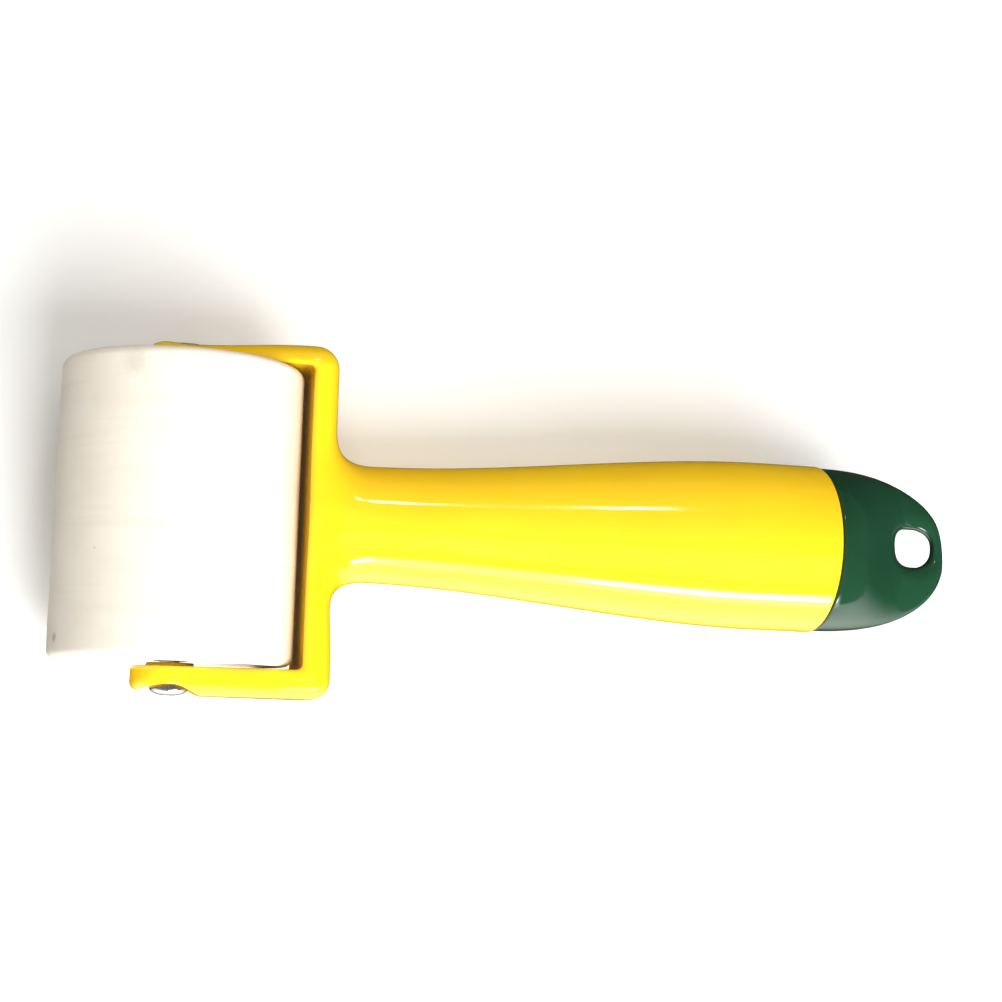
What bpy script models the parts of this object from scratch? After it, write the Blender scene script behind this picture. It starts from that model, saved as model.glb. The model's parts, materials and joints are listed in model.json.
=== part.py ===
"""Hand press roller: a rubber-covered roller that turns in a forked, moulded handle.

Metres, +Z up. X runs along the handle from the roller to the tail, Y along the roller's axle.
The origin is under the middle of the tool, level with the roller's lowest line.
"""
import math

import bmesh
import bpy
from mathutils import Matrix, Vector

# --- driving dimensions -------------------------------------------------------------------
GAP = 0.0003                    # clearance between pieces that touch
ROLLER_RADIUS = 0.0243
ROLLER_LENGTH = 0.0602
RIM_ROUNDING = 0.002
TAIL_REACH = 0.1687             # roller axis to the tip of the end cap

ARM_INNER = 0.0307              # roller's middle to the arms' inner faces
LOWER_OUTER = 0.0365            # roller's middle to the arms' outer faces
UPPER_OUTER = 0.0354
UPPER_TONGUE = 0.0346           # the upper arm is thinner about the axle
LIP_HEIGHT = 0.0006
WEB_INNER = 0.02525             # roller axis to the web's two faces
WEB_OUTER = 0.0309
WEB_BULGE = 0.0006              # the web's back swells a little towards the lower arm
TONGUE_RADIUS = 0.0078          # round ends of the arms, about the axle
WEB_HALF_HEIGHT = 0.0115
INNER_CORNER = 0.0012
UPPER_CORNER = 0.0048
LOWER_CORNER = 0.0040
EDGE_DEPTH = 0.0046             # rounding of the fork's outer edges, across its thickness
EDGE_HEIGHT = 0.0062            # and over its height
AXLE_EDGE_DEPTH = {1: 0.0030, -1: 0.0054}    # the same about the axle, on the upper and lower arm
AXLE_EDGE_HEIGHT = 0.0070
TIP_EDGE_DEPTH = 0.0027         # and at the arms' very tips
TIP_EDGE_HEIGHT = 0.0024

BOSS_RADIUS = 0.0048
BOSS_FACE = 0.02995
RECESS_RADIUS = 0.0065          # round recess for the screw head
RECESS_FLOOR = 0.0329
NUT_FLOOR = 0.0321
NUT_ACROSS_FLATS = 0.0070
NUT_THICKNESS = 0.0022
CLEARANCE_HOLE = 0.00235

NECK_RADIUS = 0.01205
NECK_FILLET = 0.0062
NECK_X = 0.0377                 # distances from the roller axis
SWELL_END = 0.1247
SEAM_X = 0.1371
GRIP_RADIUS = 0.0181
GRIP_WALL = 0.0027

CAP_RADIUS = 0.0178
CAP_POWER = 2.3
CAP_FLAT_FROM = 0.80            # share of the cap's length where it has flattened to a tongue
TONGUE_HALF_THICKNESS = 0.0033
HOLE_X = 0.1609
HOLE_Y = 0.0014
HOLE_RADIUS = 0.0044
HOLE_STRETCH = 1.14             # the hole is a little longer along the handle
HOLE_FLARE = 0.0019
SPIGOT_WALL = 0.0024
SPIGOT_LENGTH = 0.0130
SNAP_HEIGHT = 0.0006
SNAP_SETBACK = 0.0075           # snap bead and groove to the seam

SHANK_RADIUS = 0.0020
HEAD_RADIUS = 0.0039
HEAD_HEIGHT = 0.0025
CROWN_RADIUS = 0.0062
SHANK_END = 0.0347
WASHER_THICKNESS = 0.0005

CORE_RADIUS = 0.0199
CORE_BORE = 0.0175
CORE_HALF_LENGTH = 0.0280
HUB_FACE = 0.0293

BEARING_OUTER = 0.0065
BEARING_BORE = 0.00235
BEARING_WIDTH = 0.0050
BEARING_MIDDLE = 0.0261
PITCH_RADIUS = 0.00425
BALL_RADIUS = 0.0010
BALL_COUNT = 7
INNER_SHOULDER = 0.0033
OUTER_SHOULDER = 0.0052

AXLE = Vector((
    (ROLLER_RADIUS - TAIL_REACH) / 2,
    (LOWER_OUTER - UPPER_OUTER) / 2,
    ROLLER_RADIUS,
))
SIDES = {"upper": 1, "lower": -1}

for old in list(bpy.data.objects):
    bpy.data.objects.remove(old, do_unlink=True)

parts = bpy.data.collections.new("press_roller")
cutters = bpy.data.collections.new("cutters")
for collection in (parts, cutters):
    bpy.context.scene.collection.children.link(collection)


# --- materials ----------------------------------------------------------------------------
def material(name, color, roughness, metallic=0.0):
    mat = bpy.data.materials.new(name)
    mat.use_nodes = True
    shader = mat.node_tree.nodes["Principled BSDF"]
    shader.inputs["Base Color"].default_value = (*color, 1.0)
    shader.inputs["Roughness"].default_value = roughness
    shader.inputs["Metallic"].default_value = metallic
    return mat


YELLOW = material("yellow_plastic", (0.93, 0.66, 0.02), 0.22)
GREEN = material("green_plastic", (0.02, 0.13, 0.055), 0.2)
WHITE = material("white_rubber", (0.82, 0.78, 0.70), 0.55)
WHITE_PLASTIC = material("white_plastic", (0.80, 0.78, 0.73), 0.45)
NATURAL = material("natural_plastic", (0.75, 0.72, 0.62), 0.5)
ZINC = material("zinc_steel", (0.62, 0.62, 0.60), 0.3, 1.0)
CHROME = material("bearing_steel", (0.70, 0.71, 0.73), 0.16, 1.0)


# --- modelling helpers --------------------------------------------------------------------
def lerp(a, b, t):
    return a + (b - a) * t


def smoothstep(start, end, value):
    t = min(max((value - start) / (end - start), 0.0), 1.0)
    return t * t * (3 - 2 * t)


def arc(center, radius, start_deg, end_deg, count):
    """Points of a circular arc, as (radius, height) pairs."""
    angles = [math.radians(lerp(start_deg, end_deg, i / count)) for i in range(count + 1)]
    return [(center[0] + radius * math.cos(a), center[1] + radius * math.sin(a)) for a in angles]


def add_object(name, mesh, mat, collection, smooth_angle=35):
    obj = bpy.data.objects.new(name, mesh)
    collection.objects.link(obj)
    if mat:
        mesh.materials.append(mat)
    else:
        obj.display_type = "WIRE"
        obj.hide_render = True
    mesh.shade_smooth()
    mesh.set_sharp_from_angle(angle=math.radians(smooth_angle))
    return obj


AXES = {
    "X": Matrix.Rotation(math.radians(90), 4, "Y"),
    "Y": Matrix.Rotation(math.radians(-90), 4, "X"),
    "Z": Matrix.Identity(4),
}


CUTTER_PHASE = math.radians(4.1)    # keeps a cutter's corners off those of the piece it cuts


def turned(name, profile, axis, mat=None, steps=32, closed=True, flip=False):
    """A Screw solid about an axis through the roller's centre.

    The profile holds (radius, height) pairs that run down the outer side. A closed profile is a
    ring's section; an open one begins and ends on the axis. flip mirrors the heights.
    """
    points = [(r, -h) for r, h in reversed(profile)] if flip else profile
    mesh = bpy.data.meshes.new(name)
    edges = [(i, i + 1) for i in range(len(points) - 1)]
    if closed:
        edges.append((len(points) - 1, 0))
    mesh.from_pydata([(r, 0.0, h) for r, h in points], edges, [])
    obj = add_object(name, mesh, mat, parts if mat else cutters)
    screw = obj.modifiers.new("turn", "SCREW")
    screw.steps = steps
    screw.render_steps = steps
    screw.use_merge_vertices = True
    screw.merge_threshold = 0.00001
    screw.use_smooth_shade = True
    phase = 0.0 if mat else CUTTER_PHASE
    obj.matrix_world = Matrix.Translation(AXLE) @ AXES[axis] @ Matrix.Rotation(phase, 4, "Z")
    return obj


def loft(name, rings, mat=None, smooth_angle=35):
    """A closed skin through rings of equally many points, given from the roller's centre."""
    bm = bmesh.new()
    rows = [[bm.verts.new(AXLE + Vector(p)) for p in ring] for ring in rings]
    count = len(rows[0])
    for row, after in zip(rows, rows[1:]):
        for i in range(count):
            j = (i + 1) % count
            bm.faces.new((row[i], row[j], after[j], after[i]))
    bm.faces.new(list(reversed(rows[0])))
    bm.faces.new(rows[-1])
    bmesh.ops.triangulate(bm, faces=bm.faces)
    bmesh.ops.recalc_face_normals(bm, faces=bm.faces)
    mesh = bpy.data.meshes.new(name)
    bm.to_mesh(mesh)
    bm.free()
    return add_object(name, mesh, mat, parts if mat else cutters, smooth_angle)


def boolean(obj, operation, tools, solver="EXACT"):
    """Joins a group of tools to a piece, or cuts them all from it, in one Boolean."""
    group = bpy.data.collections.new(f"{obj.name}_{operation.lower()}_{len(obj.modifiers)}")
    cutters.children.link(group)
    for tool in tools:
        cutters.objects.unlink(tool)
        group.objects.link(tool)
    modifier = obj.modifiers.new(group.name, "BOOLEAN")
    modifier.operation = operation
    modifier.operand_type = "COLLECTION"
    modifier.collection = group
    modifier.solver = solver


def cylinder(name, radius, low, high, axis, mat=None, steps=24):
    """A plain turned bar between two heights on an axis."""
    return turned(name, [(0.0, high), (radius, high), (radius, low), (0.0, low)], axis, mat, steps, False)


def hex_prism(name, across_flats, low, high, mat=None):
    """A six-sided bar along the axle between two distances from the middle plane."""
    corner = across_flats / math.sqrt(3)
    angles = [math.radians(60 * i) for i in range(6)]
    rings = [[(corner * math.cos(a), y, corner * math.sin(a)) for a in angles] for y in (low, high)]
    return loft(name, rings, mat, 20)


# --- handle frame: fork, neck and hollow grip ---------------------------------------------
def fork_section(inner, outer, half_height, rounding=(EDGE_DEPTH, EDGE_HEIGHT)):
    """Rounded section between an inner and an outer point of the fork, in a plane along Z."""
    inner = Vector((inner[0], inner[1], 0.0))
    across = Vector((outer[0], outer[1], 0.0)) - inner
    thickness = across.length
    across.normalize()
    depth = min(rounding[0], thickness * 0.93)
    height = min(rounding[1], half_height * 0.9)
    soft = min(0.0007, half_height * 0.3)
    half = [(0.0, half_height - soft), (soft * 0.3, half_height - soft * 0.3), (soft, half_height)]
    for deg in (90, 66, 44, 22, 0):
        a = math.radians(deg)
        half.append((thickness - depth + depth * math.cos(a), half_height - height + height * math.sin(a)))
    loop = half + [(t, -z) for t, z in reversed(half)]
    return [inner + across * t + Vector((0.0, 0.0, z)) for t, z in loop]


def arm_half_height(x):
    """Half the arm's height: a round tongue about the axle that widens towards the web."""
    if x < 0:
        return math.sqrt(max(TONGUE_RADIUS ** 2 - x * x, 0.0))
    return lerp(TONGUE_RADIUS, WEB_HALF_HEIGHT, smoothstep(0.0, WEB_INNER, x))


def tip_rounding(x):
    """How far the outer face draws in at the very end of an arm."""
    t = min(max((TIP_EDGE_HEIGHT - TONGUE_RADIUS - x) / TIP_EDGE_HEIGHT, 0.0), 1.0)
    return TIP_EDGE_DEPTH * (1 - math.sqrt(1 - t * t))


def arm_rounding(x, side):
    """Depth and height of the outer edges' rounding: long about the axle, tight at the very tip."""
    near = 1 - smoothstep(0.004, 0.016, x)
    lean = min(max(-x / TONGUE_RADIUS, 0.0), 1.0) ** 2
    depth = lerp(EDGE_DEPTH, AXLE_EDGE_DEPTH[side], near)
    height = lerp(EDGE_HEIGHT, AXLE_EDGE_HEIGHT, near)
    return lerp(depth, TIP_EDGE_DEPTH, lean), lerp(height, TIP_EDGE_HEIGHT, lean)


def arm_face(x, side):
    """The lower arm is flat; the upper one thins towards the axle and ends in a low lip."""
    if side < 0:
        return LOWER_OUTER
    taper = lerp(UPPER_TONGUE, UPPER_OUTER, smoothstep(-0.001, WEB_INNER, x))
    return taper + LIP_HEIGHT * math.exp(-((x + 0.0052) / 0.0030) ** 2)


def web_back(y):
    return WEB_OUTER + WEB_BULGE * smoothstep(0.016, 0.030, -y)


def arm_stations(side):
    """Inner and outer points with half-heights, from an arm's tip to the middle of the web."""
    xs = [offset - TONGUE_RADIUS for offset in (0.00015, 0.0007, 0.0018, 0.0034, 0.0056)]
    stations = []
    for x in xs + [0.0, 0.004, 0.009, 0.015, 0.0205]:
        outer = arm_face(x, side) - tip_rounding(x)
        section = ((x, side * ARM_INNER), (x, side * outer), arm_half_height(x), arm_rounding(x, side))
        stations.append(section)
    corner = UPPER_CORNER if side > 0 else LOWER_CORNER
    face, back = arm_face(WEB_INNER, side), web_back(side * ARM_INNER)
    for deg in (90, 68, 45, 22, 0):
        c, s = 1 - math.cos(math.radians(deg)), 1 - math.sin(math.radians(deg))
        inner = (WEB_INNER - INNER_CORNER * c, side * (ARM_INNER - INNER_CORNER * s))
        outer = (back - corner * c, side * (face - corner * s))
        stations.append((inner, outer, WEB_HALF_HEIGHT))
    for y in (0.022, 0.013, 0.005):
        stations.append(((WEB_INNER, side * y), (web_back(side * y), side * y), WEB_HALF_HEIGHT))
    return stations


def grip_radius(x):
    return lerp(NECK_RADIUS, GRIP_RADIUS, smoothstep(NECK_X, SWELL_END, x))


def oval(x, half_width, half_height, count=32, power=2.0):
    """A ring across the handle's axis; a power above 2 makes it squarer."""
    ring = []
    for i in range(count):
        a = 2 * math.pi * i / count
        c, s = math.cos(a), math.sin(a)
        y = half_width * math.copysign(abs(c) ** (2 / power), c)
        z = half_height * math.copysign(abs(s) ** (2 / power), s)
        ring.append((x, y, z))
    return ring


def build_frame():
    upper, lower = arm_stations(1), arm_stations(-1)
    stations = upper + list(reversed(lower))
    frame = loft("handle_frame", [fork_section(*s) for s in stations], YELLOW)

    rings = []
    for x in (0.0279, 0.0297, 0.0309, 0.0317, 0.0329, 0.0345, 0.0361, NECK_X):
        t = min(max((NECK_X - x) / (NECK_X - WEB_OUTER), 0.0), 1.0)
        flare = NECK_FILLET * (1 - math.sqrt(1 - t * t))
        rise = smoothstep(0.026, NECK_X, x)
        rings.append(oval(x, NECK_RADIUS + flare, lerp(0.0098, NECK_RADIUS, rise)))
    swell = [lerp(NECK_X, SWELL_END, i / 11) for i in range(1, 12)]
    for x in swell + [SEAM_X - 0.0006]:
        rings.append(oval(x, grip_radius(x), grip_radius(x)))
    rings.append(oval(SEAM_X, GRIP_RADIUS - 0.0004, GRIP_RADIUS - 0.0004))
    boolean(frame, "UNION", [loft("neck_and_grip", rings)], "MANIFOLD")
    for name, side in SIDES.items():
        low, high = sorted((side * BOSS_FACE, side * (ARM_INNER + 0.001)))
        boolean(frame, "UNION", [cylinder("axle_boss_" + name, BOSS_RADIUS, low, high, "Y")], "MANIFOLD")

    bore = GRIP_RADIUS - GRIP_WALL
    groove_x = SEAM_X - SNAP_SETBACK
    inside = [(0.0, SEAM_X + 0.002), (bore, SEAM_X + 0.002), (bore, groove_x + 0.0012)]
    inside += [(bore + SNAP_HEIGHT, groove_x + 0.0006), (bore + SNAP_HEIGHT, groove_x - 0.0006)]
    inside += [(bore, groove_x - 0.0012), (bore, SWELL_END)]
    for x in (0.110, 0.096, 0.082, 0.068, 0.054, 0.046):
        inside.append((grip_radius(x) - GRIP_WALL, x))
    inside += [(0.0060, 0.0425), (0.0, 0.0415)]
    boolean(frame, "DIFFERENCE", [turned("grip_hollow", inside, "X", closed=False)], "MANIFOLD")

    reach, within = LOWER_OUTER + 0.002, BOSS_FACE - 0.001
    hole = cylinder("axle_hole_upper", CLEARANCE_HOLE, within, NUT_FLOOR + 0.0002, "Y")
    pocket = hex_prism("nut_pocket", NUT_ACROSS_FLATS + 2 * GAP, NUT_FLOOR, reach)
    stepped = [(0.0, -within), (CLEARANCE_HOLE, -within), (CLEARANCE_HOLE, -RECESS_FLOOR)]
    stepped += [(RECESS_RADIUS, -RECESS_FLOOR), (RECESS_RADIUS, -reach), (0.0, -reach)]
    recess = turned("head_recess", stepped, "Y", closed=False)
    for cutter in (hole, pocket, recess):
        boolean(frame, "DIFFERENCE", [cutter], "MANIFOLD")
    return frame


# --- end cap ------------------------------------------------------------------------------
def build_cap():
    start, length = SEAM_X + GAP, TAIL_REACH - SEAM_X - GAP
    rings = [oval(start, CAP_RADIUS - 0.0003, CAP_RADIUS - 0.0003)]
    shares = (0.025, 0.09, 0.18, 0.28, 0.38, 0.48, 0.58, 0.68, 0.77, 0.85, 0.91, 0.955, 0.985, 0.998)
    for u in shares:
        width = CAP_RADIUS * (1 - u ** CAP_POWER) ** (1 / CAP_POWER)
        flat = smoothstep(0.0, CAP_FLAT_FROM, u)
        height = lerp(CAP_RADIUS, TONGUE_HALF_THICKNESS, flat) * (1 - u ** 9) ** 0.5
        rings.append(oval(start + u * length, width, height, power=2 + 0.5 * flat))
    cap = loft("end_cap", rings, GREEN)

    outer = GRIP_RADIUS - GRIP_WALL - GAP
    inner = outer - SPIGOT_WALL
    tail, snap_x = SEAM_X - SPIGOT_LENGTH, SEAM_X - SNAP_SETBACK
    bead = outer + SNAP_HEIGHT - 0.0001
    spigot = [(inner - 0.001, start + 0.003), (outer, start + 0.003), (outer, snap_x + 0.0010)]
    spigot += [(bead, snap_x + 0.0004), (bead, snap_x - 0.0002), (outer, snap_x - 0.0008)]
    spigot += [(outer, tail + 0.001), (outer - 0.001, tail), (inner - 0.001, tail)]
    boolean(cap, "UNION", [turned("spigot", spigot, "X")])

    hollow = [(0.0, SEAM_X + 0.0085), (0.0085, SEAM_X + 0.0078), (inner, SEAM_X + 0.0015)]
    hollow += [(inner, tail - 0.001), (0.0, tail - 0.001)]
    cut = [turned("cap_hollow", hollow, "X", closed=False)]

    lip = TONGUE_HALF_THICKNESS - HOLE_FLARE + 0.0005
    flare = arc((HOLE_RADIUS + HOLE_FLARE, lip), HOLE_FLARE, 90, 180, 4)
    mouth, beyond = HOLE_RADIUS + HOLE_FLARE + 0.0012, 0.012
    profile = [(0.0, beyond), (mouth, beyond), *flare]
    profile += [(r, -h) for r, h in reversed(profile)]
    hole = turned("hanging_hole", profile, "Z", closed=False)
    centre = Matrix.Translation(AXLE + Vector((HOLE_X, HOLE_Y, 0.0)))
    stretch = Matrix.Diagonal((HOLE_STRETCH, 1.0, 1.0, 1.0))
    hole.matrix_world = centre @ stretch @ Matrix.Rotation(CUTTER_PHASE, 4, "Z")
    boolean(cap, "DIFFERENCE", cut + [hole])
    return cap


# --- roller -------------------------------------------------------------------------------
def build_sleeve():
    bore = CORE_RADIUS + GAP
    half = ROLLER_LENGTH / 2
    rim = (ROLLER_RADIUS - RIM_ROUNDING, half - RIM_ROUNDING)
    profile = arc(rim, RIM_ROUNDING, 90, 0, 4)
    profile += [(r, -h) for r, h in reversed(profile)]
    profile += [(bore, -half), (bore, half)]
    return turned("roller_sleeve", profile, "Y", WHITE, 48)


def build_core():
    half = CORE_HALF_LENGTH
    profile = [(CORE_RADIUS, half), (CORE_RADIUS, -half), (CORE_BORE, -half), (CORE_BORE, half)]
    return turned("roller_core", profile, "Y", NATURAL, 32)


def build_hub(name, side):
    """A cup pressed into the core's end, with a seat for the bearing in its middle."""
    flange = CORE_HALF_LENGTH + GAP
    rim, seat = CORE_BORE - GAP, BEARING_OUTER + GAP
    back = BEARING_MIDDLE - BEARING_WIDTH / 2 - GAP
    profile = [(seat, HUB_FACE), (CORE_RADIUS, HUB_FACE), (CORE_RADIUS, flange), (rim, flange)]
    profile += [(rim, 0.0205), (rim - 0.002, 0.0205), (rim - 0.002, 0.0273), (seat + 0.002, 0.0273)]
    profile += [(seat + 0.002, back - 0.0013), (0.0050, back - 0.0013), (0.0050, back), (seat, back)]
    return turned("roller_hub_" + name, profile, "Y", WHITE_PLASTIC, 32, flip=side < 0)


def build_bearing(name, side):
    """Rings, shields, cage and balls of one bearing; returns the turning and the orbiting pieces."""
    mid, half = BEARING_MIDDLE, BEARING_WIDTH / 2
    groove = BALL_RADIUS + GAP
    low, high = mid - half, mid + half

    dip = math.degrees(math.acos((PITCH_RADIUS - INNER_SHOULDER) / groove))
    track = arc((PITCH_RADIUS, mid), groove, 180 - dip, 180 + dip, 4)
    inner = [(BEARING_BORE, high), (INNER_SHOULDER, high), *track]
    inner += [(INNER_SHOULDER, low), (BEARING_BORE, low)]
    inner_ring = turned(f"bearing_{name}_inner_ring", inner, "Y", CHROME, 24, flip=side < 0)

    rise = math.degrees(math.acos((OUTER_SHOULDER - PITCH_RADIUS) / groove))
    track = arc((PITCH_RADIUS, mid), groove, -rise, rise, 4)
    rebate, lip = 0.0057, 0.0006
    outer = [(BEARING_OUTER, high), (BEARING_OUTER, low), (rebate, low), (rebate, low + lip)]
    outer += [(OUTER_SHOULDER, low + lip), *track, (OUTER_SHOULDER, high - lip)]
    outer += [(rebate, high - lip), (rebate, high)]
    outer_ring = turned(f"bearing_{name}_outer_ring", outer, "Y", CHROME, 24, flip=side < 0)

    shields = []
    for face, height in (("outside", high - 0.0001), ("inside", low + 0.0003)):
        plate = [(0.0054, height), (0.0054, height - 0.0002), (0.00365, height - 0.0002), (0.00365, height)]
        shields.append(turned(f"bearing_{name}_{face}_shield", plate, "Y", ZINC, 24, flip=side < 0))

    web, rim = 0.0005, 0.0018
    ring = [(PITCH_RADIUS + web, mid + rim), (PITCH_RADIUS + web, mid - rim)]
    ring += [(PITCH_RADIUS - web, mid - rim), (PITCH_RADIUS - web, mid + rim)]
    cage = turned(f"bearing_{name}_ball_cage", ring, "Y", ZINC, 28, flip=side < 0)
    pockets, balls = bmesh.new(), []
    for i in range(BALL_COUNT):
        a = 2 * math.pi * i / BALL_COUNT
        spot = AXLE + Vector((PITCH_RADIUS * math.cos(a), side * mid, PITCH_RADIUS * math.sin(a)))
        bmesh.ops.create_uvsphere(
            pockets, u_segments=8, v_segments=6, radius=groove, matrix=Matrix.Translation(spot)
        )
        ball_mesh = bmesh.new()
        bmesh.ops.create_uvsphere(ball_mesh, u_segments=10, v_segments=7, radius=BALL_RADIUS)
        mesh = bpy.data.meshes.new("ball")
        ball_mesh.to_mesh(mesh)
        ball_mesh.free()
        ball = add_object(f"bearing_{name}_ball_{i + 1}", mesh, CHROME, parts, 180)
        ball.location = spot
        balls.append(ball)
    pocket_mesh = bpy.data.meshes.new("ball_pockets_" + name)
    pockets.to_mesh(pocket_mesh)
    pockets.free()
    boolean(cage, "DIFFERENCE", [add_object("ball_pockets_" + name, pocket_mesh, None, cutters)])
    return [outer_ring, *shields], [cage, *balls], [inner_ring]


# --- axle and fasteners -------------------------------------------------------------------
def build_screw():
    """Pan head screw along the axle, its head in the lower arm's recess."""
    crown, seat = -LOWER_OUTER, -LOWER_OUTER + HEAD_HEIGHT
    head = arc((0.0, crown + CROWN_RADIUS), CROWN_RADIUS, -90, -61, 3)[1:]
    profile = [(0.0, SHANK_END), (SHANK_RADIUS - 0.0005, SHANK_END), (SHANK_RADIUS, SHANK_END - 0.0005)]
    profile += [(SHANK_RADIUS, seat), (HEAD_RADIUS, seat), (HEAD_RADIUS, seat - 0.0010)]
    profile += [(HEAD_RADIUS - 0.0003, seat - 0.0015)] + list(reversed(head)) + [(0.0, crown)]
    screw = turned("axle_screw", profile, "Y", ZINC, 24, closed=False)
    slots = []
    for i in range(2):
        slot = bmesh.new()
        bmesh.ops.create_cube(slot, size=1.0)
        size = Matrix.Diagonal((0.0044, 0.0032, 0.0010, 1.0))
        bmesh.ops.transform(slot, matrix=size, verts=slot.verts)
        mesh = bpy.data.meshes.new(f"cross_recess_{i}")
        slot.to_mesh(mesh)
        slot.free()
        cutter = add_object(f"cross_recess_{i}", mesh, None, cutters)
        turn = Matrix.Rotation(math.radians(45 + 90 * i), 4, "Y")
        cutter.matrix_world = Matrix.Translation(AXLE + Vector((0.0, crown, 0.0))) @ turn
        slots.append(cutter)
    boolean(screw, "DIFFERENCE", slots)
    return screw


def ring_washer(name, bore, radius, low, high, mat, flip=False):
    profile = [(bore, high), (radius, high), (radius, low), (bore, low)]
    return turned(name, profile, "Y", mat, 24, flip=flip)


def build_fasteners():
    seat = LOWER_OUTER - HEAD_HEIGHT - GAP
    pieces = [build_screw()]
    bore = CLEARANCE_HOLE
    pieces.append(ring_washer("head_washer", bore, 0.0040, seat - WASHER_THICKNESS, seat, ZINC, True))
    nut = hex_prism("axle_nut", NUT_ACROSS_FLATS, NUT_FLOOR + GAP, NUT_FLOOR + GAP + NUT_THICKNESS, ZINC)
    boolean(nut, "DIFFERENCE", [cylinder("nut_bore", CLEARANCE_HOLE, 0.031, 0.037, "Y")])
    pieces.append(nut)
    inside = BEARING_MIDDLE + BEARING_WIDTH / 2 + GAP
    for name, side in SIDES.items():
        washer = (bore, INNER_SHOULDER, inside, BOSS_FACE - GAP, ZINC, side < 0)
        pieces.append(ring_washer("thrust_washer_" + name, *washer))
    half = BEARING_MIDDLE - BEARING_WIDTH / 2 - GAP
    pieces.append(ring_washer("bearing_spacer", bore, INNER_SHOULDER, -half, half, ZINC))
    return pieces


# --- assembly -----------------------------------------------------------------------------
def pivot(name, children):
    """An empty on the axle that its pieces turn with."""
    empty = bpy.data.objects.new(name, None)
    empty.empty_display_size = 0.01
    empty.location = AXLE
    parts.objects.link(empty)
    bpy.context.view_layer.update()
    for child in children:
        child.parent = empty
        child.matrix_parent_inverse = empty.matrix_world.inverted()


build_frame()
build_cap()
build_fasteners()
turning = [build_sleeve(), build_core()]
for label, direction in SIDES.items():
    turning.append(build_hub(label, direction))
    spinning, orbiting, still = build_bearing(label, direction)
    turning += spinning
    pivot(f"{label}_cage_pivot", orbiting)
pivot("roller_pivot", turning)
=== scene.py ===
"""Looks for the hand press roller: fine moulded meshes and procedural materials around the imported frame.

Metres, in the frame's own axes: X along the handle, Y along the axle, +Z up. Shapes are worked out
from the roller's centre, which the frame gives as the axle joint's place, and moved there at the end.
"""
import json
import math

import bmesh
import bpy
import numpy as np
from mathutils import Euler, Matrix, Vector


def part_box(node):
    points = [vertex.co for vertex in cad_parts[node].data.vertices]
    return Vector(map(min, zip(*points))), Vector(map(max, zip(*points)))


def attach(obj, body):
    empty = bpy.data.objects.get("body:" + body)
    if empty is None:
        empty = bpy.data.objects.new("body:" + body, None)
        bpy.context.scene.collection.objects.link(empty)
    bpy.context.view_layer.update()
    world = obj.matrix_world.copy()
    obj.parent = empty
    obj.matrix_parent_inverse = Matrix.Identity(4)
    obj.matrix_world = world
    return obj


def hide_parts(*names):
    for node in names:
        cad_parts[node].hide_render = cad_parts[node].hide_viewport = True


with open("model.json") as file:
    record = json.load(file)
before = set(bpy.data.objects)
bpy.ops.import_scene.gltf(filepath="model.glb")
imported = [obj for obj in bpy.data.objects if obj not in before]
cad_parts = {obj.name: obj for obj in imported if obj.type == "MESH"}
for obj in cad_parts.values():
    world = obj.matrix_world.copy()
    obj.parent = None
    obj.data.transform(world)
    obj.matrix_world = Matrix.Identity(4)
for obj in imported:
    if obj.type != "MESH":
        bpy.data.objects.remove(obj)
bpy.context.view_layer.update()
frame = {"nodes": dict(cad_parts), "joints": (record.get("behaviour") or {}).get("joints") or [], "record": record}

# --- sizes, as in the CAD -----------------------------------------------------------------
AXLE = Vector(frame["joints"][0]["pos_m"])
frame_low, frame_high = (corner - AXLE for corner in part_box("handle_frame"))
sleeve_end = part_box("roller_sleeve")[1] - AXLE

ROLLER_RADIUS = sleeve_end.z
ROLLER_HALF = sleeve_end.y
SEAM_X = frame_high.x
TAIL_REACH = (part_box("end_cap")[1] - AXLE).x
GRIP_RADIUS = frame_high.z
LOWER_OUTER = -frame_low.y

ARM_INNER = 0.0307
UPPER_OUTER = 0.0354
UPPER_TONGUE = 0.0346
LIP_HEIGHT = 0.0006
WEB_INNER = 0.02525
WEB_OUTER = 0.0309
WEB_BULGE = 0.0006
TONGUE_RADIUS = 0.0078
WEB_HALF_HEIGHT = 0.0115
INNER_CORNER = 0.0012
UPPER_CORNER = 0.0048
LOWER_CORNER = 0.0040
EDGE_DEPTH = 0.0046
EDGE_HEIGHT = 0.0062
AXLE_EDGE_DEPTH_UPPER = 0.0030
AXLE_EDGE_DEPTH_LOWER = 0.0054
AXLE_EDGE_HEIGHT = 0.0070
TIP_EDGE_DEPTH = 0.0027
TIP_EDGE_HEIGHT = 0.0024
NECK_RADIUS = 0.01205
NECK_X = 0.0377
SWELL_END = 0.1247
NECK_FILLET = 0.0078
GRIP_WALL = 0.0027
BOSS_RADIUS = 0.0048
BOSS_FACE = 0.02995
RECESS_RADIUS = 0.0065
RECESS_FLOOR = 0.0329
NUT_FLOOR = 0.0321
NUT_ACROSS_FLATS = 0.0070
HOLE_BORE = 0.00235
CAP_RADIUS = 0.0178
CAP_POWER = 2.3
CAP_FLAT_FROM = 0.80
TONGUE_HALF_THICKNESS = 0.0033
# The hanging hole is a little squarer than in the CAD, and 0.3 mm nearer the roller.
HOLE_X = 0.1606
HOLE_Y = 0.0014
HOLE_RADIUS = 0.0043
HOLE_STRETCH = 1.2
HOLE_POWER = 2.4
HOLE_FLARE = 0.0036
SPIGOT_LENGTH = 0.013
GAP = 0.0003


# --- numbers and meshes -------------------------------------------------------------------
def mix(a, b, t):
    return a + (b - a) * t


def ease(start, end, value):
    """0 before start, 1 after end, and smooth between."""
    t = np.clip((value - start) / (end - start), 0.0, 1.0)
    return t * t * (3 - 2 * t)


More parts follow.
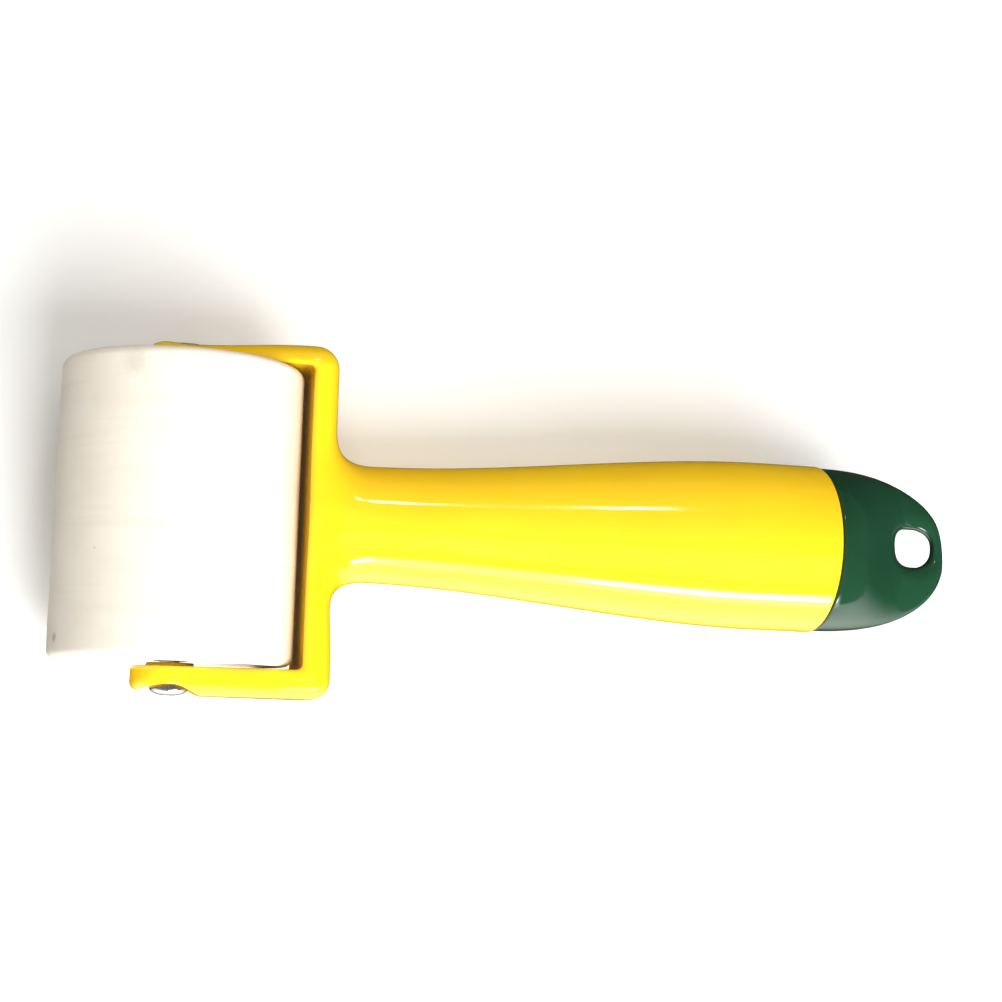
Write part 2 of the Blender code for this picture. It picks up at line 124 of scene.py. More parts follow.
def grid_lines(*stretches):
    """Grid lines from (start, end, step) stretches that follow each other."""
    lines = []
    for start, end, step in stretches:
        count = max(int(round((end - start) / step)), 1)
        lines.append(np.linspace(start, end, count, endpoint=False))
    return np.append(np.concatenate(lines), stretches[-1][1])


def gradient(field, points, step=0.00002):
    """The slope of a field along X, Y and Z, from values a small step away."""
    parts = []
    for d in range(3):
        shift = np.zeros(3)
        shift[d] = step
        parts.append((field(points + shift) - field(points - shift)) / (2 * step))
    return np.stack(parts, -1)


def rounded_join(a, b, radius):
    """The space inside both a and b, their shared edge rounded to a radius."""
    u, v = a + radius, b + radius
    return np.minimum(np.maximum(u, v), 0) + np.hypot(np.maximum(u, 0), np.maximum(v, 0)) - radius


def oval_join(a, b, depth, height):
    """The space inside both a and b, their shared edge a quarter ellipse."""
    u, v = np.maximum(a + depth, 0), np.maximum(b + height, 0)
    near = np.hypot(u / depth, v / height)
    scale = np.hypot(u / depth ** 2, v / height ** 2)
    return np.where((u > 0) & (v > 0), near * (near - 1) / np.maximum(scale, 1e-9), np.maximum(a, b))


def soft_union(a, b, reach):
    """The space inside a or b, with a fillet where they meet."""
    overlap = np.maximum(reach - np.abs(a - b), 0) / reach
    return np.minimum(a, b) - overlap ** 2 * reach / 4


def skin(name, field, axes, rounds=4):
    """A fine closed mesh where a field of signed distances crosses zero.

    Each grid cell that the surface passes through gets a point, each grid edge that it crosses a
    face. The points are then evened out along the surface and set exactly on it.
    """
    grid = np.stack(np.meshgrid(*axes, indexing="ij"), -1)
    value = field(grid)
    shape = np.array(value.shape) - 1
    total = np.zeros((shape.prod(), 3))
    hits = np.zeros(shape.prod())
    quads = []
    for d in range(3):
        e, f = [i for i in range(3) if i != d]
        first = np.take(value, range(shape[d]), axis=d)
        last = np.take(value, range(1, shape[d] + 1), axis=d)
        at = np.argwhere((first < 0) != (last < 0))
        a, b = first[tuple(at.T)], last[tuple(at.T)]
        point = np.stack([axes[i][at[:, i]] for i in range(3)], -1)
        point[:, d] += (axes[d][at[:, d] + 1] - axes[d][at[:, d]]) * a / (a - b)
        around = []
        for back_e, back_f in ((1, 1), (0, 1), (0, 0), (1, 0)):
            cell = at.copy()
            cell[:, e] -= back_e
            cell[:, f] -= back_f
            around.append(np.ravel_multi_index(tuple(cell.T), shape))
        for index in around:
            for i in range(3):
                total[:, i] += np.bincount(index, point[:, i], len(total))
            hits += np.bincount(index, minlength=len(hits))
        quad = np.stack(around, -1)
        outward = (a < 0) == (d != 1)
        quads.append(np.where(outward[:, None], quad, quad[:, ::-1]))
    used = np.flatnonzero(hits)
    number = np.full(len(hits), -1)
    number[used] = np.arange(len(used))
    points = total[used] / hits[used, None]
    faces = number[np.concatenate(quads)]

    pairs = np.concatenate([faces[:, [i, (i + 1) % 4]] for i in range(4)])
    pairs = np.concatenate([pairs, pairs[:, ::-1]])
    weight = np.bincount(pairs[:, 0], minlength=len(points))[:, None]
    for lap in range(rounds + 1):
        for _ in range(2):
            slope = gradient(field, points)
            points = points - slope * (field(points) / (slope ** 2).sum(-1))[:, None]
        if lap < rounds:
            middle = [np.bincount(pairs[:, 0], points[pairs[:, 1], i], len(points)) for i in range(3)]
            points = mix(points, np.stack(middle, -1) / weight, 0.6)
    mesh = bpy.data.meshes.new(name)
    mesh.from_pydata((points + np.array(AXLE)).tolist(), [], faces.tolist())
    return add_object(name, mesh, 50)


def add_object(name, mesh, sharp_deg=40):
    obj = bpy.data.objects.new(name, mesh)
    bpy.context.scene.collection.objects.link(obj)
    mesh.validate()
    mesh.shade_smooth()
    mesh.set_sharp_from_angle(angle=math.radians(sharp_deg))
    return obj


AXES = {
    "X": Matrix.Rotation(math.radians(90), 4, "Y"),
    "Y": Matrix.Rotation(math.radians(-90), 4, "X"),
    "Z": Matrix.Identity(4),
}


def place(bm, axis):
    """Turns a shape made about Z to another axis, and moves it to the roller's centre."""
    bmesh.ops.transform(bm, matrix=Matrix.Translation(AXLE) @ AXES[axis], verts=bm.verts)


def soften(profile, radius, closed, steps=4):
    """The same profile with its corners rounded."""
    points = [Vector(p) for p in profile]
    count = len(points)
    result = []
    for i, corner in enumerate(points):
        if not closed and i in (0, count - 1):
            result.append(corner)
            continue
        before, after = points[i - 1] - corner, points[(i + 1) % count] - corner
        trim = min(radius, before.length * 0.45, after.length * 0.45)
        start, end = corner + before.normalized() * trim, corner + after.normalized() * trim
        for k in range(steps + 1):
            t = k / steps
            result.append(start * (1 - t) ** 2 + corner * 2 * t * (1 - t) + end * t * t)
    return result


def lathe(name, profile, axis="Y", steps=96, closed=True, soft=0.0, side=1, wave=None):
    """A turned piece about an axis through the roller's centre.

    The profile is a list of (radius, height). A closed one is a ring's section; an open one begins
    and ends on the axis. soft rounds its corners, and side -1 turns the heights round.
    wave(angle, radius, height) may move a point, for threads or ribs.
    """
    if soft:
        profile = soften(profile, soft, closed)
    bm = bmesh.new()
    rows = []
    for radius, height in profile:
        if radius < 1e-7:
            rows.append([bm.verts.new((0.0, 0.0, side * height))] * steps)
            continue
        row = []
        for i in range(steps):
            a = 2 * math.pi * i / steps
            r, h = wave(a, radius, height) if wave else (radius, height)
            row.append(bm.verts.new((r * math.cos(a), r * math.sin(a), side * h)))
        rows.append(row)
    following = rows[1:] + (rows[:1] if closed else [])
    for row, after in zip(rows, following):
        for i in range(steps):
            j = (i + 1) % steps
            corners = list(dict.fromkeys((row[i], row[j], after[j], after[i])))
            if len(corners) > 2:
                bm.faces.new(corners)
    place(bm, axis)
    bmesh.ops.recalc_face_normals(bm, faces=bm.faces)
    mesh = bpy.data.meshes.new(name)
    bm.to_mesh(mesh)
    bm.free()
    return add_object(name, mesh)


def prism(name, outline, low, high, axis="Y", taper=1.0):
    """A straight bar with a flat outline, its top scaled by taper."""
    bm = bmesh.new()
    rings = []
    for height, scale in ((low, 1.0), (high, taper)):
        rings.append([bm.verts.new((x * scale, y * scale, height)) for x, y in outline])
    count = len(outline)
    for i in range(count):
        j = (i + 1) % count
        bm.faces.new((rings[0][i], rings[0][j], rings[1][j], rings[1][i]))
    for ring in rings:
        bm.faces.new(ring)
    place(bm, axis)
    bmesh.ops.recalc_face_normals(bm, faces=bm.faces)
    mesh = bpy.data.meshes.new(name)
    bm.to_mesh(mesh)
    bm.free()
    return add_object(name, mesh)


def polygon(sides, across, turn_deg=0.0):
    """Corners of a regular polygon, from the distance across its flats."""
    radius = across / 2 / math.cos(math.pi / sides)
    angles = [2 * math.pi * i / sides + math.radians(turn_deg) for i in range(sides)]
    return [(radius * math.cos(a), radius * math.sin(a)) for a in angles]


def carve(obj, tools, operation="DIFFERENCE", sharp_deg=40):
    """Cuts tools from a piece one after another, or joins them to it, and leaves a plain mesh."""
    for tool in tools:
        modifier = obj.modifiers.new(tool.name, "BOOLEAN")
        modifier.operation = operation
        modifier.object = tool
        modifier.solver = "MANIFOLD"
    bpy.context.view_layer.update()
    solid = obj.evaluated_get(bpy.context.evaluated_depsgraph_get())
    mesh = bpy.data.meshes.new_from_object(solid)
    obj.modifiers.clear()
    obj.data = mesh
    for tool in tools:
        bpy.data.objects.remove(tool)
    mesh.shade_smooth()
    mesh.set_sharp_from_angle(angle=math.radians(sharp_deg))
    return obj


# --- moulded handle -----------------------------------------------------------------------
def grip_radius(x):
    return mix(NECK_RADIUS, GRIP_RADIUS, ease(NECK_X, SWELL_END, x))


def arm_face(x, y):
    """Distance of the arms' outer faces from the middle: the upper one thins and ends in a lip."""
    lip = LIP_HEIGHT * np.exp(-((x + 0.0052) / 0.0030) ** 2)
    upper = mix(UPPER_TONGUE, UPPER_OUTER, ease(-0.001, WEB_INNER, x)) + lip
    return np.where(y > 0, upper, LOWER_OUTER)


def arm_rounding(x, y):
    """Depth and height of the outer edges' rounding: long about the axle, tight at the very tip."""
    near = 1 - ease(0.004, 0.016, x)
    lean = np.clip(-x / TONGUE_RADIUS, 0.0, 1.0) ** 2
    depth = mix(EDGE_DEPTH, np.where(y > 0, AXLE_EDGE_DEPTH_UPPER, AXLE_EDGE_DEPTH_LOWER), near)
    height = mix(EDGE_HEIGHT, AXLE_EDGE_HEIGHT, near)
    return mix(depth, TIP_EDGE_DEPTH, lean), mix(height, TIP_EDGE_HEIGHT, lean)


def arm_profile(x, z):
    """How far a point is outside the arms' outline seen along the axle."""
    half = mix(TONGUE_RADIUS, WEB_HALF_HEIGHT, ease(0.0, WEB_INNER, x))
    t = np.clip(x / WEB_INNER, 0.0, 1.0)
    slope = 6 * t * (1 - t) * (WEB_HALF_HEIGHT - TONGUE_RADIUS) / WEB_INNER
    wedge = (np.abs(z) - half) / np.sqrt(1 + slope ** 2)
    return np.where(x < 0, np.hypot(x, z) - TONGUE_RADIUS, wedge)


def handle_field(p):
    """The outside of the fork, neck and grip, with the fork's mouth and the bosses at the axle."""
    x, y, z = p[..., 0], p[..., 1], p[..., 2]
    back = WEB_OUTER + WEB_BULGE * ease(0.016, 0.030, -y)
    corner = np.where(y > 0, UPPER_CORNER, LOWER_CORNER)
    plan = rounded_join(np.abs(y) - arm_face(x, y), x - back, corner)
    fork = oval_join(plan, arm_profile(x, z), *arm_rounding(x, y))

    radius = grip_radius(x)
    height = radius * mix(0.0098 / NECK_RADIUS, 1.0, ease(0.026, NECK_X, x))
    near = np.hypot(y / radius, z / height)
    scale = np.hypot(y / radius ** 2, z / height ** 2)
    bar = near * (near - 1) / np.maximum(scale, 1e-6)
    bar = rounded_join(bar, x - SEAM_X, 0.0005)
    bar = np.maximum(bar, 0.0272 - x)
    body = soft_union(fork, bar, NECK_FILLET)

    inside = rounded_join(np.abs(y) - ARM_INNER, x - WEB_INNER, INNER_CORNER)
    body = rounded_join(body, -inside, 0.0007)
    boss = rounded_join(np.hypot(x, z) - BOSS_RADIUS, BOSS_FACE - np.abs(y), 0.0002)
    boss = np.maximum(boss, np.abs(y) - ARM_INNER - 0.001)
    return soft_union(body, boss, 0.0005)


def build_handle():
    """Fork, neck and grip in one moulding, hollow in the grip, with the axle's holes and recesses."""
    arm, seam = 0.0385, SEAM_X + 0.0012
    axes = (
        grid_lines((-0.0092, -0.0050, 0.0003), (-0.0050, 0.0230, 0.0005), (0.0230, 0.0400, 0.0004),
                   (0.0400, SEAM_X - 0.0015, 0.0009), (SEAM_X - 0.0015, seam, 0.0002)),
        grid_lines((-arm, -0.0285, 0.00035), (-0.0285, 0.0285, 0.0006), (0.0285, arm, 0.00035)),
        grid_lines((-0.0200, 0.0200, 0.00048)),
    )
    handle = skin("moulded_handle", handle_field, axes)
    bore = GRIP_RADIUS - GRIP_WALL
    hollow = [(0.0, seam + 0.001), (bore, seam + 0.001)]
    for i in range(25):
        x = mix(SWELL_END, 0.0455, i / 24)
        hollow.append((float(grip_radius(x)) - GRIP_WALL, x))
    hollow += [(0.0085, 0.0428), (0.0045, 0.0418), (0.0, 0.0415)]
    within, reach = BOSS_FACE - 0.001, LOWER_OUTER + 0.002
    recess = [(0.0, -within), (HOLE_BORE, -within), (HOLE_BORE, -RECESS_FLOOR)]
    recess += [(RECESS_RADIUS - 0.0003, -RECESS_FLOOR), (RECESS_RADIUS, -RECESS_FLOOR - 0.0003)]
    recess += [(RECESS_RADIUS, -reach), (0.0, -reach)]
    deep = NUT_FLOOR + 0.0005
    hole = [(0.0, deep), (HOLE_BORE, deep), (HOLE_BORE, within), (0.0, within)]
    tools = [
        lathe("hollow", hollow, "X", closed=False),
        lathe("recess", recess, "Y", closed=False),
        lathe("hole", hole, "Y", closed=False),
        prism("pocket", polygon(6, NUT_ACROSS_FLATS + 2 * GAP), NUT_FLOOR, reach),
    ]
    return carve(handle, tools, sharp_deg=50)


# --- end cap ------------------------------------------------------------------------------
def cap_field(p):
    """A cap that is round at the seam and flattens to a tongue, with a round-lipped hole in it."""
    start = SEAM_X + GAP
    u = (p[..., 0] - start) / (TAIL_REACH - start)
    y, z = p[..., 1], p[..., 2]
    along = np.clip(u, 0.0, None)
    plan = ((np.abs(y) / CAP_RADIUS) ** CAP_POWER + along ** CAP_POWER) ** (1 / CAP_POWER)
    flat = ease(0.0, CAP_FLAT_FROM, along)
    power = 2 + 0.5 * flat
    t = np.clip(along, 0.0, 0.9995)
    height = mix(CAP_RADIUS, TONGUE_HALF_THICKNESS, flat) * np.sqrt(1 - t ** 9)
    height = height / (1 - t ** power) ** (1 / power)
    return (plan ** power + (np.abs(z) / height) ** power) ** (1 / power) - 1


def drilled_cap(p):
    """The cap as distances, cut off at the seam and with its hanging hole."""
    slope = np.linalg.norm(gradient(cap_field, p), axis=-1)
    cap = cap_field(p) / np.maximum(slope, 25.0)
    cap = rounded_join(cap, SEAM_X + GAP - p[..., 0], 0.0004)
    u, v = np.abs(p[..., 0] - HOLE_X) / HOLE_STRETCH, np.abs(p[..., 1] - HOLE_Y)
    hole = (u ** HOLE_POWER + v ** HOLE_POWER) ** (1 / HOLE_POWER) - HOLE_RADIUS
    return -soft_union(-cap, hole, HOLE_FLARE)


def build_cap():
    """The end cap with the spigot that plugs the grip, hollow from the grip's side."""
    start = SEAM_X + GAP
    side = grid_lines((-0.0190, 0.0190, 0.0004))
    fine = start + 0.0008
    length = grid_lines((start - 0.0006, fine, 0.0002), (fine, TAIL_REACH + 0.001, 0.0004))
    cap = skin("tail_cap", drilled_cap, (length, side, side))
    outer, tail = GRIP_RADIUS - GRIP_WALL - GAP, SEAM_X - SPIGOT_LENGTH
    inner = outer - 0.0024
    spigot = [(inner, start + 0.003), (outer, start + 0.003), (outer, tail), (inner, tail)]
    spigot = lathe("spigot", soften(spigot, 0.0006, True), "X")
    hollow = [(0.0, SEAM_X + 0.0085), (0.0085, SEAM_X + 0.0078), (inner - 0.0001, SEAM_X + 0.0015)]
    hollow += [(inner - 0.0001, tail - 0.001), (0.0, tail - 0.001)]
    carve(cap, [spigot], "UNION")
    return carve(cap, [lathe("cap_hollow", hollow, "X", closed=False)], sharp_deg=50)


# --- roller -------------------------------------------------------------------------------
CORE_RADIUS = 0.0199
CORE_BORE = 0.0175
CORE_HALF = 0.0280
HUB_FACE = 0.0293
BEARING_OUTER = 0.0065
BEARING_MIDDLE = 0.0261
BEARING_HALF = 0.0025
RIM_ROUNDING = 0.0019
RIB_COUNT = 8
RIB_DEPTH = 0.00085


def build_sleeve():
    """The rubber tread, with rounded rims."""
    bore = CORE_RADIUS + GAP
    edge = ROLLER_RADIUS - RIM_ROUNDING
    rim = []
    for i in range(13):
        a = math.radians(90 * (1 - i / 12))
        rim.append((edge + RIM_ROUNDING * math.cos(a), ROLLER_HALF - RIM_ROUNDING * (1 - math.sin(a))))
    half = [(bore, ROLLER_HALF - 0.0004), (bore + 0.0002, ROLLER_HALF - 0.0001)]
    half += [(bore + 0.0005, ROLLER_HALF)] + rim
    rows = [(ROLLER_RADIUS, h) for h in np.linspace(ROLLER_HALF - 0.004, -ROLLER_HALF + 0.004, 30)]
    profile = half + rows + [(r, -h) for r, h in reversed(half)]
    return lathe("rubber_sleeve", profile, steps=192)


def build_hub(name, side):
    """The roller's end plug: a ribbed dish between its rim and the bearing's seat."""
    seat = BEARING_OUTER + GAP
    back = BEARING_MIDDLE - BEARING_HALF - GAP
    flange, rim = CORE_HALF + GAP, CORE_BORE - GAP

    def ribs(angle, radius, height):
        if not 0.0094 < radius < 0.0174 or height < 0.0284:
            return radius, height
        wave = math.cos(angle * RIB_COUNT)
        return radius, height - RIB_DEPTH * float(ease(0.86, 0.70, wave))

    face = [(seat, HUB_FACE), (0.0090, HUB_FACE), (0.0093, HUB_FACE - 0.0001)]
    face += [(mix(0.0096, 0.0172, i / 10), HUB_FACE - 0.0001) for i in range(11)]
    face += [(0.0175, HUB_FACE - 0.0001), (0.0178, HUB_FACE), (CORE_RADIUS - 0.0004, HUB_FACE)]
    face += [(CORE_RADIUS - 0.0001, HUB_FACE - 0.0001), (CORE_RADIUS, HUB_FACE - 0.0004)]
    body = [(CORE_RADIUS, flange), (rim, flange), (rim, 0.0207), (rim - 0.0002, 0.0205)]
    body += [(rim - 0.002, 0.0205), (rim - 0.002, 0.0273)]
    body += [(seat + 0.002, 0.0273), (seat + 0.002, back - 0.0013)]
    body += [(0.0050, back - 0.0013), (0.0050, back), (seat, back)]
    return lathe(f"roller_end_{name}", face + body, steps=192, side=side, wave=ribs)


def build_bearing(name, side):
    """Rings and shields of one ball bearing, as (piece, node, body)."""
    low, high = BEARING_MIDDLE - BEARING_HALF, BEARING_MIDDLE + BEARING_HALF
    pitch, groove = 0.00425, 0.0013
    bore, inner_top, outer_bottom, rebate = 0.00235, 0.0033, 0.0052, 0.0057

    def track(shoulder, count=10):
        """The ball groove's arc between its two shoulders."""
        reach = math.acos(abs(shoulder - pitch) / groove)
        sign = 1 if shoulder > pitch else -1
        points = []
        for i in range(count + 1):
            a = mix(reach, -reach, i / count)
            points.append((pitch + sign * groove * math.cos(a), BEARING_MIDDLE + groove * math.sin(a)))
        return points

    inner = [(bore, high), (inner_top, high), *track(inner_top), (inner_top, low), (bore, low)]
    outer = [(BEARING_OUTER, high), (rebate, high), (rebate, high - 0.0006)]
    outer += [(outer_bottom, high - 0.0006), *track(outer_bottom), (outer_bottom, low + 0.0006)]
    outer += [(rebate, low + 0.0006), (rebate, low), (BEARING_OUTER, low)]
    made = []
    for ring, section, body in (("inner", inner, "handle"), ("outer", outer, "roller")):
        race = lathe(f"{ring}_race_{name}", soften(section, 0.00012, True, 2), side=side)
        made.append((race, f"bearing_{name}_{ring}_ring", body))
    for face, height in (("outside", high - 0.0001), ("inside", low + 0.0003)):
        under = height - 0.0002
        plate = [(0.0054, height), (0.0054, under), (0.00365, under), (0.00365, height)]
        shield = lathe(f"shield_{face}_{name}", soften(plate, 0.00008, True, 2), side=side)
        made.append((shield, f"bearing_{name}_{face}_shield", "roller"))
    return made


# --- fasteners ----------------------------------------------------------------------------
HEAD_RADIUS = 0.0039
HEAD_HEIGHT = 0.0025
SHANK_RADIUS = 0.0020
SHANK_END = 0.0347
PITCH = 0.0007
THREAD_START = 0.0235
THREAD_DEPTH = 0.00042
CROSS_TURN_DEG = 28
THRUST_RADIUS = 0.0033


def build_screw():
    """Pan head screw with a cross recess in its head and a thread where the nut sits."""
    crown = -LOWER_OUTER
    seat = crown + HEAD_HEIGHT
    head = [(0.0, crown)]
    for i in range(1, 15):
        a = math.radians(90 * i / 14)
        head.append((HEAD_RADIUS * math.sin(a) ** 0.8, crown + 0.0017 * (1 - math.cos(a) ** 0.9)))
    head += [(HEAD_RADIUS, seat - 0.0002), (HEAD_RADIUS - 0.0002, seat), (SHANK_RADIUS + 0.0003, seat)]
    head += [(SHANK_RADIUS, seat + 0.0003)]
    root = SHANK_RADIUS - 0.0002
    rows = int((SHANK_END - THREAD_START) / PITCH * 10)
    shank = [(SHANK_RADIUS, THREAD_START - PITCH)]
    shank += [(SHANK_RADIUS, mix(THREAD_START, SHANK_END - 0.0003, i / rows)) for i in range(rows + 1)]
    shank += [(root - 0.0002, SHANK_END), (0.0, SHANK_END)]

    def thread(angle, radius, height):
        if height < THREAD_START or radius < root:
            return radius, height
        turn = (height / PITCH - angle / (2 * math.pi)) % 1.0
        depth = THREAD_DEPTH * abs(2 * turn - 1)
        fade = float(ease(THREAD_START, THREAD_START + PITCH, height))
        chamfer = 0.0003 * float(ease(SHANK_END - 0.0006, SHANK_END, height))
        return radius - depth * fade - chamfer, height

    screw = lathe("pan_head_screw", head + shank, closed=False, wave=thread)
    blade = 0.00052
    tools = []
    for i in range(2):
        wing = [(-0.0022, -blade), (0.0022, -blade), (0.0022, blade), (-0.0022, blade)]
        turn = Matrix.Rotation(math.radians(CROSS_TURN_DEG + 90 * i), 2)
        wing = [tuple(turn @ Vector(c)) for c in wing]
        tools.append(prism(f"wing_{i}", wing, crown - 0.0001, crown + 0.0019, taper=0.42))
    well = [(0.0, crown - 0.0001), (0.0012, crown - 0.0001)]
    well += [(0.0007, crown + 0.0020), (0.0, crown + 0.0024)]
    tools.append(lathe("well", well, closed=False, steps=24))
    return carve(screw, tools, sharp_deg=35)


def build_nut():
    """Hexagon nut, its corners chamfered by a turned blank."""
    low, high = NUT_FLOOR + GAP, NUT_FLOOR + GAP + 0.0022
    nut = prism("hex_nut", polygon(6, NUT_ACROSS_FLATS), low, high)
    flat = NUT_ACROSS_FLATS / 2 - 0.0001
    corner = NUT_ACROSS_FLATS / 2 / math.cos(math.pi / 6) + 0.0001
    drop = (corner - flat) * math.tan(math.radians(28))
    blank = [(0.0, high + 0.0001), (flat, high + 0.0001), (corner, high - drop)]
    blank += [(corner, low + drop), (flat, low - 0.0001), (0.0, low - 0.0001)]
    carve(nut, [lathe("blank", blank, closed=False)], "INTERSECT")
    bore = [(0.0, high + 0.001), (0.0034, high + 0.001), (0.00215, high - 0.0003)]
    bore += [(0.00215, low + 0.0003), (0.0034, low - 0.001), (0.0, low - 0.001)]
    return carve(nut, [lathe("nut_bore", bore, closed=False)], sharp_deg=30)


def washer(name, bore, radius, low, high, side=1):
    ring = [(bore, high), (radius, high), (radius, low), (bore, low)]
    return lathe(name, soften(ring, 0.0001, True, 3), side=side)


# --- materials ----------------------------------------------------------------------------
class Paint:
    """A Principled material being put together: sockets are named, and nodes are made as needed."""

    def __init__(self, name, color, roughness, metallic=0.0, **settings):
        self.material = bpy.data.materials.new(name)
        self.material.use_nodes = True
        self.tree = self.material.node_tree
        self.shader = self.tree.nodes["Principled BSDF"]
        self.shader.inputs["Base Color"].default_value = (*color, 1.0)
        self.shader.inputs["Roughness"].default_value = roughness
        self.shader.inputs["Metallic"].default_value = metallic
        for socket, value in settings.items():
            self.shader.inputs[socket.replace("_", " ")].default_value = value
        self.coordinates = self.node("ShaderNodeTexCoord").outputs["Object"]

    def node(self, kind, inputs=(), **properties):
        made = self.tree.nodes.new(kind)
        for key, value in properties.items():
            setattr(made, key, value)
        for socket, value in dict(inputs).items():
            if isinstance(value, bpy.types.NodeSocket):
                self.tree.links.new(value, made.inputs[socket])
            else:
                made.inputs[socket].default_value = value
        return made

    def math(self, operation, a, b=0.0, c=0.0):
        return self.node("ShaderNodeMath", {0: a, 1: b, 2: c}, operation=operation).outputs[0]

    def place(self, scale=(1, 1, 1), centre=(0, 0, 0)):
        """Object coordinates, measured from a centre and stretched."""
        offset = tuple(-c * s for c, s in zip(centre, scale))
        return self.node("ShaderNodeMapping", {0: self.coordinates, 1: offset, 3: scale}).outputs[0]

    def noise(self, scale, detail=3.0, stretch=(1, 1, 1), roughness=0.55):
        inputs = {"Vector": self.place(stretch), "Scale": scale}
        inputs.update({"Detail": detail, "Roughness": roughness})
        return self.node("ShaderNodeTexNoise", inputs).outputs["Fac"]

    def remap(self, value, low, high, to_low=0.0, to_high=1.0):
        inputs = {0: value, 1: low, 2: high, 3: to_low, 4: to_high}
        return self.node("ShaderNodeMapRange", inputs, interpolation_type="SMOOTHSTEP").outputs[0]

    def blend(self, share, color_a, color_b):
        """color_a where share is 0, color_b where it is 1."""
        inputs = {"Factor": share}
        made = self.node("ShaderNodeMix", inputs, data_type="RGBA")
        for socket, value in ((made.inputs[6], color_a), (made.inputs[7], color_b)):
            if isinstance(value, bpy.types.NodeSocket):
                self.tree.links.new(value, socket)
            else:
                socket.default_value = (*value, 1.0)
        return made.outputs[2]

    def bump(self, height, distance, strength=1.0, under=None):
        inputs = {"Height": height, "Distance": distance, "Strength": strength}
        if under:
            inputs["Normal"] = under
        return self.node("ShaderNodeBump", inputs).outputs[0]

    def finish(self, **links):
        for socket, value in links.items():
            self.tree.links.new(value, self.shader.inputs[socket.replace("_", " ")])
        return self.material


def moulded_plastic(name, color, deep, roughness, seam_height):
    """Glossy moulded plastic: faint swirl of pigment, a waviness, hairline scuffs, a parting line."""
    paint = Paint(name, color, roughness, IOR=1.5)
    swirl = paint.remap(paint.noise(55.0, 4.0, (0.5, 1.0, 1.0)), 0.35, 0.70)
    tint = paint.blend(swirl, color, deep)
    scuffs = paint.noise(420.0, 2.0, (0.12, 1.0, 1.0))
    scuffs = paint.remap(scuffs, 0.62, 0.74)
    wipe = paint.remap(paint.noise(90.0, 5.0), 0.35, 0.75, roughness * 0.8, roughness * 1.25)
    rough = paint.math("MULTIPLY_ADD", scuffs, 0.10, wipe)
    split = paint.node("ShaderNodeSeparateXYZ", {0: paint.coordinates})
    off = paint.math("ABSOLUTE", paint.math("SUBTRACT", split.outputs[2], seam_height))
    line = paint.remap(off, 0.00005, 0.00022, 1.0, 0.0)
    waviness = paint.bump(paint.noise(260.0, 2.0), 0.00003, 0.5)
    grain = paint.bump(paint.noise(2600.0, 2.0), 0.000004, 0.6, waviness)
    ridge = paint.bump(line, 0.00007, 0.8, grain)
    return paint.finish(Base_Color=tint, Roughness=rough, Normal=ridge)


# Grey marks on the roller: degrees about the axle, place along it, size and strength.
MARKS = ((116.0, 0.0268, 0.0038, 0.25), (160.3, -0.0261, 0.0014, 0.70))


def rubber():
    """Off-white rubber: faint mottling, lines from turning, and a couple of grey marks."""
    # The third colour is the grey that the specks and the two smudges listed in MARKS are blended towards.
    color, warm, spot_grey = (0.86, 0.80, 0.70), (0.80, 0.72, 0.60), (0.34, 0.31, 0.27)
    paint = Paint("white_rubber", color, 0.46, IOR=1.5)
    mottle = paint.remap(paint.noise(70.0, 5.0), 0.40, 0.72, 0.0, 0.55)
    lines = paint.remap(paint.noise(30.0, 3.0, (0.6, 14.0, 0.6)), 0.50, 0.72, 0.0, 0.5)
    tint = paint.blend(mottle, color, warm)
    tint = paint.blend(lines, tint, warm)
    specks = paint.node("ShaderNodeTexVoronoi", {"Vector": paint.coordinates, "Scale": 210.0})
    specks = paint.remap(specks.outputs["Distance"], 0.03, 0.10, 0.5, 0.0)
    rare = paint.remap(paint.noise(95.0, 1.0), 0.60, 0.66)
    tint = paint.blend(paint.math("MULTIPLY", specks, rare), tint, spot_grey)
    for angle_deg, y, size, share in MARKS:
        a = math.radians(angle_deg)
        spot = AXLE + Vector((ROLLER_RADIUS * math.cos(a), y, ROLLER_RADIUS * math.sin(a)))
        near = paint.node("ShaderNodeVectorMath", {0: paint.coordinates, 1: spot}, operation="DISTANCE")
        ragged = paint.math("MULTIPLY_ADD", paint.noise(900.0, 3.0), -size, near.outputs["Value"])
        mark = paint.remap(ragged, -0.4 * size, 0.55 * size, share, 0.0)
        tint = paint.blend(mark, tint, spot_grey)
    rough = paint.remap(paint.noise(160.0, 4.0), 0.3, 0.7, 0.40, 0.56)
    turning = paint.bump(paint.noise(60.0, 2.0, (0.3, 30.0, 0.3)), 0.00001, 0.5)
    grain = paint.bump(paint.noise(2200.0, 3.0), 0.000012, 0.6, turning)
    return paint.finish(Base_Color=tint, Roughness=rough, Normal=grain)


def matte_plastic(name, color, deep):
    """Satin moulded plastic with a fine spark-eroded grain."""
    paint = Paint(name, color, 0.5, IOR=1.5)
    tint = paint.blend(paint.remap(paint.noise(80.0, 4.0), 0.35, 0.7), color, deep)
    rough = paint.remap(paint.noise(500.0, 3.0), 0.3, 0.7, 0.42, 0.60)
    grain = paint.bump(paint.noise(3200.0, 2.0), 0.00001, 0.5)
    return paint.finish(Base_Color=tint, Roughness=rough, Normal=grain)


